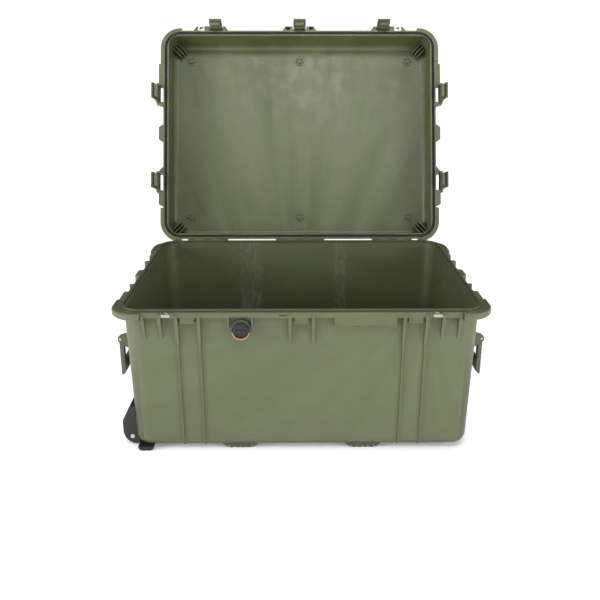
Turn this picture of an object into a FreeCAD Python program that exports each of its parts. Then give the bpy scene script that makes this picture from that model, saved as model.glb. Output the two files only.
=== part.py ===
import FreeCAD, Part
import math
import os
import Sketcher
from FreeCAD import Placement, Rotation, Vector

# Large wheeled equipment case: a drafted tub with a hinged lid, seven two-piece latches,
# two end handles, two wheels at the left end and a pull handle that slides out of the right end.
# Frame: X along the case, Y towards the hinges, Z up, origin on the floor under the tub's centre.
# The lid and everything on it are drawn closed and then turned open about the hinge line.

doc = FreeCAD.newDocument("equipment_case")
sheet = doc.addObject("Spreadsheet::Sheet", "Sheet")

CELLS = [
    ("rim_z", 316, "height of the tub's rim above the floor"),
    ("foot_z", 9, "ground clearance under the tub"),
    ("half_len", 352, "half the clear length inside the rim"),
    ("half_wid", 266.5, "half the clear width inside the rim"),
    ("tub_depth", 299, "clear depth of the tub"),
    ("tub_len", 696, "outside length of the tub at its bottom"),
    ("tub_wid", 525.6, "outside width of the tub at its bottom"),
    ("tub_rad", 31, "vertical corner radius of the tub at its bottom"),
    ("cav_len", 684.1, "clear length of the tub at its bottom"),
    ("cav_wid", 513.1, "clear width of the tub at its bottom"),
    ("cav_rad", 24, "inner corner radius at the bottom"),
    ("draft_out", 1.68, "draft of the tub's outside"),
    ("draft_cav", 1.9, "draft of the tub's inside"),
    ("band_tall", 12, "height of the tub's rim band"),
    ("lid_band_tall", 17, "height of the lid's rim band"),
    ("band_out", 14.2, "width of the rim from its inner edge"),
    ("tongue_a", 5.4, "inner side of the sealing tongue"),
    ("tongue_b", 8.6, "outer side of the sealing tongue"),
    ("tongue_tall", 4.6, "height of the sealing tongue"),
    ("bumper_out", 22, "reach of the corner bumpers from the rim's inner edge"),
    ("bumper_end", 30, "reach of the tub's corner bumpers beyond the rim at the ends"),
    ("ridge", 3.4, "height of the thin ridges on the wall"),
    ("rib_thick", 6, "thickness of the ribs"),
    ("part_gap", 1.5, "gap between the two rims when closed"),
    ("lid_depth", 76, "clear depth of the lid"),
    ("lid_skin", 8.5, "thickness of the lid's top"),
    ("lid_rib_tall", 22.5, "height of the stacking ribs on the lid"),
    ("hinge_y", 288.5, "hinge line behind the centre"),
    ("hinge_z", 314, "hinge line above the floor"),
    ("knuckle_rad", 7.5, "outer radius of the hinge knuckles"),
    ("pin_rad", 3, "radius of the hinge pins"),
    ("lid_open", 110, "angle that the lid stands open at rest"),
    ("latch_pin_rad", 2, "radius of the latch pins"),
    ("latch_hang", 3, "angle that a loose latch lever hangs out at rest"),
    ("wheel_rad", 20.4, "radius of the wheels"),
    ("wheel_x", -360, "wheel axle from the centre"),
    ("wheel_z", 20.5, "wheel axle above the floor"),
    ("wheel_y", 206.5, "middle of each wheel from the centre"),
    ("wheel_wide", 30, "width of a wheel"),
    ("axle_rad", 4, "radius of the wheel axles"),
    ("handle_z", 205, "pivot height of the end handles"),
    ("handle_out", 41.2, "pivot of the end handles from the rim's inner edge"),
    ("handle_half", 135, "half the width of an end handle"),
    ("guide_y", 58, "middle of each pull-handle tube from the centre"),
    ("guide_z", 21.5, "middle of the pull-handle tubes above the floor"),
    ("valve_x", -120, "purge valve from the centre"),
    ("valve_z", 279, "purge valve above the floor"),
]
for row, (alias, value, note) in enumerate(CELLS, 1):
    sheet.set("A%d" % row, note)
    sheet.set("B%d" % row, repr(value))
    sheet.setAlias("B%d" % row, alias)
doc.recompute()


class Q:
    """A number together with the sheet expression that gives it."""

    def __init__(self, text, value):
        self.text, self.value = text, float(value)

    def mix(self, other, sign, result, swap=False):
        other = as_q(other)
        a, b = (other, self) if swap else (self, other)
        return Q("(%s %s %s)" % (a.text, sign, b.text), result(a.value, b.value))

    def __add__(self, o):
        return self.mix(o, "+", lambda a, b: a + b)

    def __radd__(self, o):
        return self.mix(o, "+", lambda a, b: a + b, True)

    def __sub__(self, o):
        return self.mix(o, "-", lambda a, b: a - b)

    def __rsub__(self, o):
        return self.mix(o, "-", lambda a, b: a - b, True)

    def __mul__(self, o):
        return self.mix(o, "*", lambda a, b: a * b)

    def __rmul__(self, o):
        return self.mix(o, "*", lambda a, b: a * b, True)

    def __neg__(self):
        return self.mix(-1, "*", lambda a, b: a * b)


def as_q(v):
    if isinstance(v, Q):
        return v
    text = "%.6f" % v
    return Q("(%s)" % text if v < 0 else text, v)


def num(v):
    return v.value if isinstance(v, Q) else float(v)


D = {alias: Q("Sheet." + alias, value) for alias, value, note in CELLS}
RZ, L, W = D["rim_z"], D["half_len"], D["half_wid"]
LZ = RZ + D["part_gap"]
HY, HZ = D["hinge_y"], D["hinge_z"]
TOP = LZ + D["lid_depth"] + D["lid_skin"]


def bind(obj, path, v):
    if isinstance(v, Q):
        obj.setExpression(path, v.text)
    else:
        setattr(obj, path, v)


def spin_xy(x, y, turn):
    return {0: (x, y), 90: (-y, x), -90: (y, -x), 180: (-x, -y)}[turn]


def neg(v):
    return -v


def place(obj, x, y, z, turn=0, rot=None):
    """Put obj at (x, y, z) drawn on the front face, then carried to another face by turning about Z."""
    x, y = (as_q(v) for v in (x, y))
    x, y = spin_xy(x, y, turn)
    z = as_q(z)
    r = Rotation(Vector(0, 0, 1), turn)
    if rot is not None:
        r = r.multiply(rot)
    obj.Placement = Placement(Vector(x.value, y.value, z.value), r)
    obj.setExpression("Placement.Base.x", x.text)
    obj.setExpression("Placement.Base.y", y.text)
    obj.setExpression("Placement.Base.z", z.text)
    return obj


def box(name, x0, x1, y0, y1, z0, z1, turn=0):
    b = doc.addObject("Part::Box", name)
    bind(b, "Length", as_q(x1) - x0)
    bind(b, "Width", as_q(y1) - y0)
    bind(b, "Height", as_q(z1) - z0)
    return place(b, x0, y0, z0, turn)


ROT = {
    "Z": Rotation(),
    "X": Rotation(Vector(0, 1, 0), 90),
    "Y": Rotation(Vector(1, 0, 0), -90),
}


def cyl(name, axis, x, y, z, rad, long, turn=0):
    """A cylinder that starts at (x, y, z) and runs along +axis."""
    c = doc.addObject("Part::Cylinder", name)
    bind(c, "Radius", as_q(rad))
    bind(c, "Height", as_q(long))
    return place(c, x, y, z, turn, ROT[axis])


PLANES = {
    "YZ": Rotation(Vector(1, 1, 1), 120),
    "XZ": Rotation(Vector(1, 0, 0), 90),
    "XY": Rotation(),
}


def outline(sk, pts, first=0):
    """Closed polygon whose corners are each dimensioned from the sketch's origin."""
    n = len(pts)
    v = [(as_q(a), as_q(b)) for a, b in pts]
    for i in range(n):
        a, b = v[i], v[(i + 1) % n]
        sk.addGeometry(
            Part.LineSegment(
                Vector(a[0].value, a[1].value, 0), Vector(b[0].value, b[1].value, 0)
            ),
            False,
        )
    C = Sketcher.Constraint
    for i in range(n):
        sk.addConstraint(C("Coincident", first + i, 2, first + (i + 1) % n, 1))
    for i, (a, b) in enumerate(v):
        for kind, tag, q in (("DistanceX", "u", a), ("DistanceY", "v", b)):
            if abs(q.value) < 1e-9:
                # a corner on an axis is held to that axis
                axis = -2 if kind == "DistanceX" else -1
                sk.addConstraint(C("PointOnObject", first + i, 1, axis))
                continue
            k = sk.addConstraint(C(kind, -1, 1, first + i, 1, q.value))
            label = "%s%d" % (tag, first + i)
            sk.renameConstraint(k, label)
            sk.setExpression("Constraints." + label, q.text)


def prism(name, plane, pts, start, stop, turn=0):
    """A polygon on a plane, extruded between two stations on that plane's normal."""
    sk = doc.addObject("Sketcher::SketchObject", name + "_outline")
    r = PLANES[plane]
    if plane == "YZ":
        place(sk, start, 0, 0, turn, r)
        d = Vector(1, 0, 0)
    elif plane == "XZ":
        # the XZ plane's normal is -Y, so the sketch sits at the far station
        place(sk, 0, stop, 0, turn, r)
        d = Vector(0, -1, 0)
    else:
        place(sk, 0, 0, start, turn, r)
        d = Vector(0, 0, 1)
    outline(sk, pts)
    e = doc.addObject("Part::Extrusion", name)
    e.Base = sk
    e.DirMode = "Custom"
    e.Dir = Rotation(Vector(0, 0, 1), turn).multVec(d)
    bind(e, "LengthFwd", as_q(stop) - start)
    e.Solid = True
    return e


def fuse(name, parts):
    f = doc.addObject("Part::MultiFuse", name)
    f.Shapes = list(parts)
    f.Refine = True
    return f


def cut(name, base, tools):
    c = doc.addObject("Part::Cut", name)
    c.Base = base
    c.Tool = tools[0] if len(tools) == 1 else fuse(name + "_tools", tools)
    c.Refine = True
    return c


def group(name, parts):
    """Identical loose pieces that share one node."""
    g = doc.addObject("Part::Compound", name)
    g.Links = list(parts)
    return g


def body(name):
    return doc.addObject("PartDesign::Body", name)


def plane_of(b, role):
    return [f for f in b.Origin.OriginFeatures if f.Role == role][0]


def sketch(b, name, role="XY_Plane", lift=0):
    sk = b.newObject("Sketcher::SketchObject", name)
    sk.AttachmentSupport = [(plane_of(b, role), "")]
    sk.MapMode = "FlatFace"
    lift = as_q(lift)
    sk.AttachmentOffset = Placement(Vector(0, 0, lift.value), Rotation())
    sk.setExpression("AttachmentOffset.Base.z", lift.text)
    return sk


def rounded(sk, long, wide, rad, first=0):
    """A rounded rectangle centred on the sketch's origin."""
    long, wide, rad = as_q(long), as_q(wide), as_q(rad)
    a, c, r = long.value / 2, wide.value / 2, rad.value
    P = [
        (-a + r, -c),
        (a - r, -c),
        (a, -c + r),
        (a, c - r),
        (a - r, c),
        (-a + r, c),
        (-a, c - r),
        (-a, -c + r),
    ]
    for i in (0, 2, 4, 6):
        sk.addGeometry(
            Part.LineSegment(Vector(*P[i], 0), Vector(*P[i + 1], 0)), False
        )
    for cx, cy, s0 in (
        (a - r, -c + r, -90),
        (a - r, c - r, 0),
        (-a + r, c - r, 90),
        (-a + r, -c + r, 180),
    ):
        circle = Part.Circle(Vector(cx, cy, 0), Vector(0, 0, 1), r)
        sk.addGeometry(
            Part.ArcOfCircle(circle, math.radians(s0), math.radians(s0 + 90)), False
        )
    C, f = Sketcher.Constraint, first
    sk.addConstraint(
        [C("Tangent", f + k, 2, f + 4 + k, 1) for k in range(4)]
        + [C("Tangent", f + 4 + k, 2, f + (k + 1) % 4, 1) for k in range(4)]
        + [
            C("Horizontal", f + 2),
            C("Vertical", f + 3),
            C("Equal", f + 4, f + 5),
            C("Equal", f + 5, f + 6),
            C("Equal", f + 6, f + 7),
            C("Symmetric", f, 1, f, 2, -2),
            C("Symmetric", f + 1, 1, f + 1, 2, -1),
        ]
    )
    for label, con, q in (
        ("wid", C("DistanceY", f, 1, f + 2, 2, wide.value), wide),
        ("len", C("DistanceX", f + 3, 1, f + 1, 1, long.value), long),
        ("rad", C("Radius", f + 4, rad.value), rad),
    ):
        k = sk.addConstraint(con)
        sk.renameConstraint(k, label + str(first))
        sk.setExpression("Constraints." + label + str(first), q.text)
    return sk


def pad(b, sk, long, taper=None, name=None, reverse=False):
    p = b.newObject("PartDesign::Pad", name or sk.Name + "_pad")
    p.Profile = sk
    bind(p, "Length", as_q(long))
    if reverse:
        p.Reversed = True
    if taper is not None:
        bind(p, "TaperAngle", as_q(taper))
    b.Tip = p
    return p


def round_edges(b, base, keep, rad, name, kind="PartDesign::Fillet"):
    doc.recompute()
    edges = ["Edge%d" % (i + 1) for i, e in enumerate(base.Shape.Edges) if keep(e)]
    f = b.newObject(kind, name)
    f.Base = (base, edges)
    if kind.endswith("Fillet"):
        bind(f, "Radius", as_q(rad))
    else:
        bind(f, "Size", as_q(rad))
    b.Tip = f
    return f


def slab(name, long, wide, rad, z0, tall, taper=None):
    """A rounded-rectangle block, drafted if asked."""
    b = body(name)
    sk = rounded(sketch(b, name + "_plan", "XY_Plane", z0), long, wide, rad)
    pad(b, sk, tall, taper)
    return b


def ring(name, half_a, half_b, in_a, in_b, rad, z0, tall):
    """A rounded-rectangle frame between an outer and an inner reach beyond the clear opening."""
    b = body(name)
    sk = sketch(b, name + "_plan", "XY_Plane", z0)
    rounded(sk, 2 * as_q(half_a), 2 * as_q(half_b), rad)
    rounded(sk, 2 * as_q(in_a), 2 * as_q(in_b), as_q(rad) - (as_q(half_a) - in_a), 8)
    pad(b, sk, tall)
    return b


def turned(name, pts, axis="XZ"):
    """A piece revolved from a half profile of (radius, height) about its own Z axis."""
    b = body(name)
    sk = sketch(b, name + "_profile", "XZ_Plane")
    outline(sk, pts)
    r = b.newObject("PartDesign::Revolution", name + "_turn")
    r.Profile = sk
    r.ReferenceAxis = (sk, ["V_Axis"])
    r.Angle = 360
    b.Tip = r
    return b


# ---------------------------------------------------------------- tub
tub = body("tub_outside")
p = pad(
    tub,
    rounded(
        sketch(tub, "tub_plan", "XY_Plane", D["foot_z"]),
        D["tub_len"],
        D["tub_wid"],
        D["tub_rad"],
    ),
    RZ - D["band_tall"] - D["foot_z"] + 2,
    D["draft_out"],
)
round_edges(tub, p, lambda e: e.BoundBox.ZMax < 9.01, 24, "tub_bottom_round")

cav = body("tub_inside")
p = pad(
    cav,
    rounded(
        sketch(cav, "tub_floor_plan", "XY_Plane", RZ - D["tub_depth"]),
        D["cav_len"],
        D["cav_wid"],
        D["cav_rad"],
    ),
    D["tub_depth"] + 12,
    D["draft_cav"],
)
round_edges(cav, p, lambda e: e.BoundBox.ZMax < 17.01, 18, "tub_floor_round")

bo = D["band_out"]
rim = slab(
    "tub_rim_band", 2 * (L + bo), 2 * (W + bo), 46, RZ - D["band_tall"], D["band_tall"]
)
doc.recompute()
round_edges(rim, rim.Tip, lambda e: e.BoundBox.ZMin > 315.9, 1.2, "tub_rim_round")
tongue = ring(
    "tub_tongue",
    L + D["tongue_b"],
    W + D["tongue_b"],
    L + D["tongue_a"],
    W + D["tongue_a"],
    40,
    RZ - 1,
    D["tongue_tall"] + 1,
)


def corner_boxes(name, x_from, y_from, z0, z1, reach=60):
    out = []
    for i, (sx, sy) in enumerate(((1, 1), (1, -1), (-1, 1), (-1, -1))):
        x = (x_from, L + reach) if sx > 0 else (-(L + reach), -x_from)
        y = (y_from, W + reach) if sy > 0 else (-(W + reach), -y_from)
        out.append(box("%s_%d" % (name, i), x[0], x[1], y[0], y[1], z0, z1))
    return out


def corner_bumpers(name, z0, tall, x_from, y_from, out, rad, end=None):
    b = slab(name + "_plan", 2 * (L + (out if end is None else end)), 2 * (W + out), rad, z0, tall)
    doc.recompute()
    round_edges(
        b,
        b.Tip,
        lambda e: abs(e.BoundBox.ZMax - e.BoundBox.ZMin) < 0.1,
        2.5,
        name + "_edge",
        "PartDesign::Chamfer",
    )
    f = fuse(
        name + "_corners",
        corner_boxes(name + "_corner", x_from, y_from, z0 - 30, z0 + tall + 30),
    )
    c = doc.addObject("Part::MultiCommon", name)
    c.Shapes = [b, f]
    return c


outer = [tub, rim, tongue]
outer.append(
    corner_bumpers("tub_bumpers", RZ - 16, as_q(15), 318, 197, D["bumper_out"], 58, D["bumper_end"])
)

RT = D["rib_thick"]


def rib(name, w, out_top, out_low, z_low, turn, half, z_shoulder=None, thick=None, toe=4):
    """A gusset that stands on the wall under the rim and runs out at z_low."""
    thick = RT if thick is None else as_q(thick)
    zs = RZ - 30 if z_shoulder is None else as_q(z_shoulder)
    pts = [
        (-(half + toe - 4), RZ - 4),
        (-(half + out_top), RZ - 4),
        (-(half + out_top), zs),
        (-(half + out_low), z_low),
        (-(half + toe - 4), z_low),
    ]
    return prism(name, "YZ", pts, as_q(w) - thick * 0.5, as_q(w) + thick * 0.5, turn)


def ridge(name, w, turn, half, z_top, bottom_half):
    """A thin ridge down the drafted wall and round its bottom edge."""
    r = D["ridge"]
    slope = math.tan(math.radians(num(D["draft_out"])))
    top = as_q(bottom_half) + (as_q(z_top) - 9) * slope
    low = as_q(bottom_half) + 24 * slope
    pts = [
        (-(top + r), z_top),
        (-(low + r), 33),
        (-(low + r - 2.4), 23),
        (-(low + r - 9), 14),
        (-(low + r - 17), 9.0),
        (-(low + r - 24), 7.6),
        (-(low - 26), 13),
        (-(low - 5.5), 36),
        (-(top - 5), z_top),
    ]
    return prism(name, "YZ", pts, as_q(w) - 1.7, as_q(w) + 1.7, turn)


# front wall: long ridges, deep gussets beside the latch catches, short ones by the corners
for s in (-1, 1):
    for w in (247, 203):
        t = "m" if s < 0 else "p"
        outer.append(rib("front_rib_%s%d" % (t, w), s * w, 15.5, 7.6, RZ - 70, 0, W))
        outer.append(ridge("front_ridge_%s%d" % (t, w), s * w, 0, W, RZ - 50, 262.8))
    outer.append(rib("front_short_%s280" % t, s * 280, 15.5, 4.4, RZ - 60, 0, W, RZ - 20))
    outer.append(rib("front_short_%s313" % t, s * 313, 14.8, 4.4, RZ - 60, 0, W, RZ - 16))
    outer.append(rib("front_mid_%s23" % t, s * 23, 15.5, 4.4, RZ - 70, 0, W))
# catches that the front latch hooks pull on
for name, w in (("left", -224.6), ("mid", 0), ("right", 224.6)):
    pts = [
        (-(W + 2), RZ - 11),
        (-(W + 14.2), RZ - 11),
        (-(W + 17.5), RZ - 18),
        (-(W + 17.5), RZ - 22),
        (-(W + 2), RZ - 22),
    ]
    outer.append(prism("front_catch_" + name, "YZ", pts, w - 13.5, w + 13.5))
# recessed blank panel at the right of the front
outer.append(box("panel_field", 66, 186, -(W + 13.4), -(W + 1.5), RZ - 30, RZ - 10))
outer.append(box("panel_foot", 64.5, 187.5, -(W + 14.4), -(W + 1.5), RZ - 31.6, RZ - 29.8))
outer.append(box("panel_step_left", 64.5, 66.5, -(W + 14.4), -(W + 1.5), RZ - 31, RZ - 10))
outer.append(box("panel_step_right", 185.5, 187.5, -(W + 14.4), -(W + 1.5), RZ - 31, RZ - 10))
# tabs and seat of the purge valve
vx, vz = D["valve_x"], D["valve_z"]
outer.append(box("valve_tab_left", vx - 27, vx - 23, -(W + 13.5), -(W + 1.5), RZ - 34, RZ - 10))
outer.append(box("valve_tab_right", vx + 20.5, vx + 24.5, -(W + 13.5), -(W + 1.5), RZ - 34, RZ - 10))
outer.append(cyl("valve_seat", "Y", vx, -(W + 10.8), vz, 20, 9.5))

# end walls: gussets beside the side latches, lugs in step with those of the lid
SIDE = ((90, "right", 1), (-90, "left", -1))
LATCH_Y = (-111.0, 127.0)
for turn, t, s in SIDE:
    for k, ly in enumerate(LATCH_Y):
        for e in (-1, 1):
            w = s * (ly + e * 27.2)
            outer.append(
                rib("%s_rib_%d%s" % (t, k, "ab"[e > 0]), w, 25, 5, RZ - 50, turn, L, RZ - 23)
            )
        a, b = sorted((s * (ly - 27), s * (ly + 27)))
        outer.append(
            box(
                "%s_catch_%d" % (t, k), a, b, -(L + 24.5), -(L + 2), RZ - 22, RZ - 14, turn
            )
        )
        outer.append(
            box("%s_web_%d" % (t, k), a, b, -(L + 15), -(L + 2), RZ - 22, RZ - 3, turn)
        )
    for k, (y0, y1, o) in enumerate(
        ((-198, -138, 24), (-32, 24, 25), (79, 100, 24), (154, 196, 24))
    ):
        a, b = sorted((s * y0, s * y1))
        c = 7 if b - a > 30 else 4
        pts = [
            (a, -(L + 3)),
            (a, -(L + 9)),
            (a + c, -(L + o)),
            (b - c, -(L + o)),
            (b, -(L + 9)),
            (b, -(L + 3)),
        ]
        outer.append(
            prism("%s_lug_%d" % (t, k), "XY", pts, RZ - 15.5, RZ - 1.5, turn)
        )
        for j, w in enumerate((a + 6, b - 6) if b - a > 30 else ((a + b) / 2.0,)):
            outer.append(
                rib(
                    "%s_lug_rib_%d%s" % (t, k, "ab"[j]),
                    w,
                    o - 5,
                    5,
                    RZ - 47,
                    turn,
                    L,
                    RZ - 18,
                    4.5,
                )
            )
    # fins under the corner bumpers
    for j, w in enumerate((-246, -232, -218, 218, 232, 246)):
        outer.append(
            rib("%s_fin_%d" % (t, j), w, 24, 8, RZ - 27, turn, L, RZ - 18, 4)
        )
    # ears that carry the end handle
    hz, ho, hh = D["handle_z"], D["handle_out"], D["handle_half"]
    for j, (e0, e1) in enumerate(((-hh - 8.4, -hh - 1), (hh + 1, hh + 8.4))):
        pts = [
            (-(L + 1), hz + 24),
            (-(L + ho), hz + 9),
            (-(L + ho + 5.2), hz + 4),
            (-(L + ho + 5.2), hz - 4),
            (-(L + ho), hz - 10),
            (-(L - 0.5), hz - 34),
        ]
        outer.append(prism("%s_ear_%d" % (t, j), "YZ", pts, e0, e1, turn))
    # rest bump under the end handle
    pts = [
        (-(L - 1), hz - 91),
        (-(L + 34), hz - 94),
        (-(L + 32), hz - 100),
        (-(L - 2), hz - 114),
    ]
    outer.append(prism("%s_rest" % t, "YZ", pts, -38, 38, turn))

# back wall: gussets below the hinge blocks and the webs of the tub's knuckles
BLOCKS = (("left", -246.0, 52.5), ("mid", 0.0, 65.0), ("right", 246.0, 52.5))
GAPS = (-33.0, -11.0, 11.0, 33.0)


def knuckle_runs(c, half):
    stops = [-half] + list(GAPS) + [half]
    return [
        (c + stops[i] + 0.5, c + stops[i + 1] - 0.5, i % 2 == 0) for i in range(5)
    ]


for t, c, half in BLOCKS:
    for j, (x0, x1, low) in enumerate(knuckle_runs(c, half)):
        if low:
            outer.append(
                cyl("tub_knuckle_%s_%d" % (t, j), "X", x0, HY, HZ, D["knuckle_rad"], x1 - x0)
            )
            pts = [
                (268, HZ),
                (HY, HZ),
                (HY + 7.3, HZ - 1.5),
                (HY + 5, HZ - 13),
                (274, HZ - 36),
                (268, HZ - 36),
            ]
            outer.append(prism("tub_web_%s_%d" % (t, j), "YZ", pts, x0, x1))
    for j, w in enumerate((c - half + 4, c + half - 4)):
        outer.append(
            rib("back_rib_%s_%d" % (t, j), -w, 13.5, 5, RZ - 73, 180, W, RZ - 35)
        )
        outer.append(ridge("back_ridge_%s_%d" % (t, j), -w, 180, W, RZ - 55, 262.8))

# feet
for i, (fx, fy) in enumerate(((-130, -1), (130, -1), (-130, 1), (130, 1))):
    pts = [(fx - 39, 12), (fx - 36, 8), (fx - 25, 0), (fx + 25, 0), (fx + 36, 8), (fx + 39, 12)]
    y0, y1 = (-249, -206) if fy < 0 else (206, 249)
    outer.append(prism("foot_%d" % i, "XZ", pts, y0, y1))

tub_solid = fuse("tub_solid", outer)

# inside of the tub stays clear of the wheel wells and of the pull-handle channel
wells, bumps = [], []
for i, s in enumerate((-1, 1)):
    a, b = sorted((s * 243, s * 169))
    bumps.append(box("well_cover_%d" % i, -(L + 20), -328, a, b, 5, 72))
    a, b = sorted((s * 237.6, s * 174.4))
    wells.append(box("well_space_%d" % i, -(L + 60), -334, a, b, -5, 66))
bumps.append(box("channel_cover", -148, L + 20, -92, 92, 5, 37.5))
clear = cut("tub_clear_space", cav, bumps)
tools = [clear] + wells
tools.append(box("channel_space", -141, L + 20, -85, 85, -5, 31))
tools.append(cyl("valve_hole", "Y", vx, -(W + 30), vz, 9, 40))
for t, s in (("left", -1), ("right", 1)):
    # seat of the padlock plate in the top of the band
    tools.append(box("padlock_seat_" + t, s * 265 - 8.8, s * 265 + 8.8, -(W + 40), -(W + 9.2), RZ - 2.3, RZ + 5))
tools.append(box("band_slot", -44, -30, -(W + 30), -(W + 12), RZ - 7.5, RZ - 4.5))
tools.append(box("valve_pocket", vx - 22, vx + 16, -(W + 30), -(W + 11), RZ - 20, RZ - 9))
for t, c, half in BLOCKS:
    tools.append(
        cyl("hinge_bore_" + t, "X", c - half - 10, HY, HZ, D["pin_rad"] + 0.03, 2 * half + 20)
    )
for turn, t, s in SIDE:
    tools.append(
        cyl("%s_handle_bore" % t, "X", -(hh + 10), -(L + ho), hz, 2.53, 2 * (hh + 10), turn)
    )
for i, (fx, fy) in enumerate(((-130, -1), (130, -1), (-130, 1), (130, 1))):
    y0, y1 = (-252, -238) if fy < 0 else (238, 252)
    for j in range(5):
        x = fx - 24 + 12 * j
        tools.append(box("foot_groove_%d_%d" % (i, j), x - 1.6, x + 1.6, y0, y1, -2, 6.5))
# pilot holes for the wheel-housing screws
SCREW_YZ = [(s * y, 82) for s in (-1, 1) for y in (187, 225)]
for i, (y, z) in enumerate(SCREW_YZ):
    tools.append(cyl("housing_pilot_%d" % i, "X", -(L + 30), y, z, 2.03, 36.5))
tub_cut = cut("tub_hollow", tub_solid, tools)
# posts that hold the cover of the pull-handle channel
POSTS = [(x, y) for x in (-120, 80, 262) for y in (-32, 32)]
posts = []
for i, (x, y) in enumerate(POSTS):
    c = cyl("post_%d" % i, "Z", x, y, 12.4, 5, 20)
    posts.append(cut("post_bored_%d" % i, c, [cyl("post_hole_%d" % i, "Z", x, y, 10, 1.83, 16)]))
base_shell = fuse("base_shell", [tub_cut] + posts)

# ---------------------------------------------------------------- padlock plates on the tub
plates = []
for t, s in (("left", -1), ("right", 1)):
    a = box("tub_plate_top_" + t, s * 265 - 8.5, s * 265 + 8.5, -(W + 27.4), -(W + 9.4), RZ - 2.2, RZ - 0.2)
    b = box("tub_plate_face_" + t, s * 265 - 8.5, s * 265 + 8.5, -(W + 27.4), -(W + 25.4), RZ - 6, RZ - 0.2)
    plates.append(
        cut(
            "tub_plate_" + t,
            fuse("tub_plate_blank_" + t, [a, b]),
            [cyl("tub_plate_hole_" + t, "Z", s * 265, -(W + 19.8), RZ - 10, 4.4, 20)],
        )
    )
group("base_lock_plates", plates)

# ---------------------------------------------------------------- hinge pins
pins = []
for t, c, half in BLOCKS:
    pins.append(cyl("hinge_pin_" + t, "X", c - half + 1, HY, HZ, D["pin_rad"], 2 * half - 2))
group("hinge_pins", pins)

# ---------------------------------------------------------------- lid, drawn closed
lid_out = body("lid_outside")
p = pad(
    lid_out,
    rounded(
        sketch(lid_out, "lid_plan", "XY_Plane", LZ + 8),
        2 * (L + 9.8),
        2 * (W + 9.8),
        42,
    ),
    D["lid_depth"] + D["lid_skin"] - 8,
    -3,
)
round_edges(lid_out, p, lambda e: e.BoundBox.ZMin > TOP.value - 0.01, 22, "lid_top_round")
lid_in = body("lid_inside")
p = pad(
    lid_in,
    rounded(sketch(lid_in, "lid_mouth_plan", "XY_Plane", LZ - 1), 2 * L, 2 * W, 26),
    D["lid_depth"] + 1,
    -1.5,
)
round_edges(
    lid_in, p, lambda e: e.BoundBox.ZMin > (LZ + D["lid_depth"]).value - 0.01, 14, "lid_panel_round"
)
flange = slab("lid_flange", 2 * (L + bo), 2 * (W + bo), 46, LZ, D["lid_band_tall"])
louter = [lid_out, flange]
louter.append(
    corner_bumpers("lid_bumpers", LZ + 1, as_q(20), 318, 197, D["bumper_out"], 54)
)
LRZ = LZ


def lid_lug(name, a, b, half, out, z0, z1, turn, slope=11):
    """A trapezoid lug on the lid's flange, seen from below."""
    pts = [
        (a, -(half + 9)),
        (as_q(a) + slope, -(half + out)),
        (as_q(b) - slope, -(half + out)),
        (b, -(half + 9)),
    ]
    return prism(name, "XY", pts, z0, z1, turn)


# front lugs: one long lug carries the padlock plate, the others flank the latches
FE = 18.4  # outer side of a latch, from its middle, plus running room
FRONT = ((-224.6, "left"), (0.0, "mid"), (224.6, "right"))
UO, SO = 21.0, 28.0  # latch pivot from the rim's inner edge, at the front and at the ends
for s, t in ((-1, "left"), (1, "right")):
    a, b = sorted((s * 290.0, s * (224.6 + FE)))
    pts = [
        (a if s < 0 else a, -(W + 9)),
        (a + (13 if s < 0 else 0), -(W + 26.4)),
        (b - (0 if s < 0 else 13), -(W + 26.4)),
        (b, -(W + 9)),
    ]
    louter.append(prism("lid_padlock_lug_" + t, "XY", pts, LZ + 1.7, LZ + 16, 0))
    a, b = sorted((s * (224.6 - FE), s * 188.0))
    pts = [
        (a, -(W + 9)),
        (a + (0 if s < 0 else 12), -(W + 26.4)),
        (b - (12 if s < 0 else 0), -(W + 26.4)),
        (b, -(W + 9)),
    ]
    louter.append(prism("lid_inner_lug_" + t, "XY", pts, LZ + 1.7, LZ + 24, 0))
    a, b = sorted((s * FE, s * 50.0))
    pts = [
        (a, -(W + 9)),
        (a + (0 if s > 0 else 12), -(W + 26.4)),
        (b - (12 if s > 0 else 0), -(W + 26.4)),
        (b, -(W + 9)),
    ]
    louter.append(prism("lid_mid_lug_" + t, "XY", pts, LZ + 1.7, LZ + 24, 0))
# ears over the padlock lugs and upward ears beside every front latch
for lx, t in FRONT:
    for j, e in enumerate((-1, 1)):
        a, b = sorted((lx + e * FE, lx + e * (FE + 5.5)))
        pts = [
            (-(W + 5), LZ + 3),
            (-(W + 26.4), LZ + 3),
            (-(W + 26.4), LZ + 22),
            (-(W + 20), LZ + 32),
            (-(W + 5), LZ + 42),
        ]
        louter.append(prism("lid_ear_%s_%d" % (t, j), "YZ", pts, a, b))

SE = 22.9
for turn, t, s in SIDE:
    for k, ly in enumerate(LATCH_Y):
        for j, e in enumerate((-1, 1)):
            a, b = sorted((s * (ly + e * SE), s * (ly + e * (SE + 5.5))))
            pts = [
                (-(L + 5), LZ + 3),
                (-(L + 33), LZ + 3),
                (-(L + 33), LZ + 22),
                (-(L + 24), LZ + 32),
                (-(L + 5), LZ + 46),
            ]
            louter.append(prism("lid_side_ear_%s_%d%d" % (t, k, j), "YZ", pts, a, b, turn))
    for k, (y0, y1, sa, sb) in enumerate(
        (
            (-198, -111 - SE, 8, 0),
            (-111 + SE, -66, 0, 20),
            (-32, 24, 12, 12),
            (79, 127 - SE, 20, 0),
            (127 + SE, 196, 0, 8),
        )
    ):
        if s > 0:
            a, b, pa, pb = y0, y1, sa, sb
        else:
            a, b, pa, pb = -y1, -y0, sb, sa
        pts = [
            (a, -(L + 9)),
            (a + pa, -(L + 26.6)),
            (b - pb, -(L + 26.6)),
            (b, -(L + 9)),
        ]
        louter.append(prism("lid_side_lug_%s_%d" % (t, k), "XY", pts, LZ + 1.7, LZ + 20, turn))

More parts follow.
